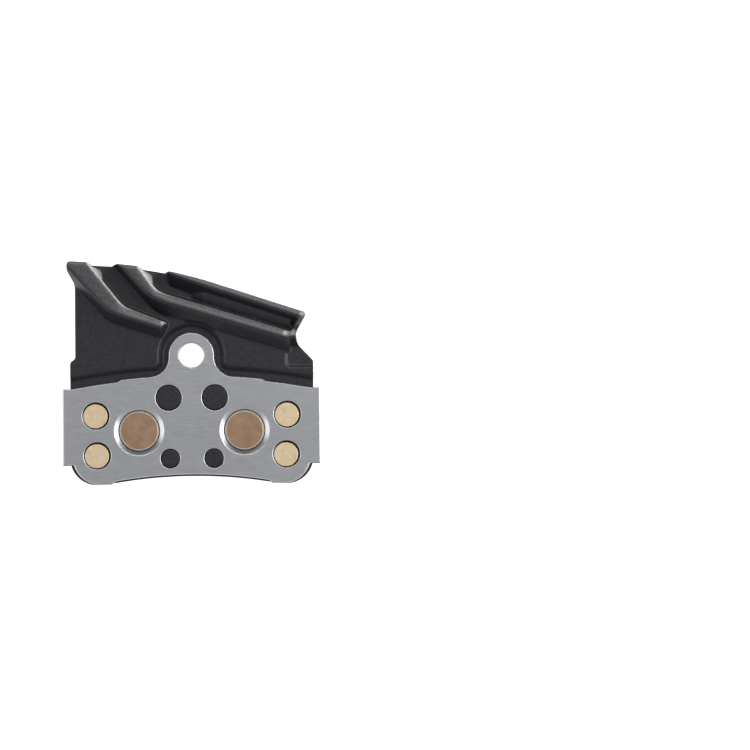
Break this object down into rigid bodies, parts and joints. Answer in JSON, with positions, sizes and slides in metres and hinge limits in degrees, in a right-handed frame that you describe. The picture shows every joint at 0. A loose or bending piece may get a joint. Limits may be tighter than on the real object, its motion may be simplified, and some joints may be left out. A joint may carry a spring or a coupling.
{
  "type": "bicycle disc brake pad",
  "caption": "Finned bicycle disc brake pad: steel back plate with a pin tab and bent ears, a black cast radiator fin, and a sintered friction block riveted through the stack.",
  "frame": {"origin": "middle of the friction block's rubbing face, in the plane of that face", "axes": "+X along the pad's length, +Y from the friction block to the radiator fin, +Z from the rubbing face to the pistons, along the pin bore"},
  "size_m": [0.051, 0.0442, 0.008],
  "materials": {
    "stamped_steel": "fine brushed stainless",
    "black_casting": "matt black coating over a cast surface",
    "copper_plating": "satin copper plating",
    "sintered_compound": "rough sintered bronze and graphite"
  },
  "bodies": {
    "root": {"back_plate": "stamped_steel", "radiator_fin": "black_casting", "carrier_plate": "copper_plating", "friction_block": "sintered_compound"}
  },
  "joints": []
}
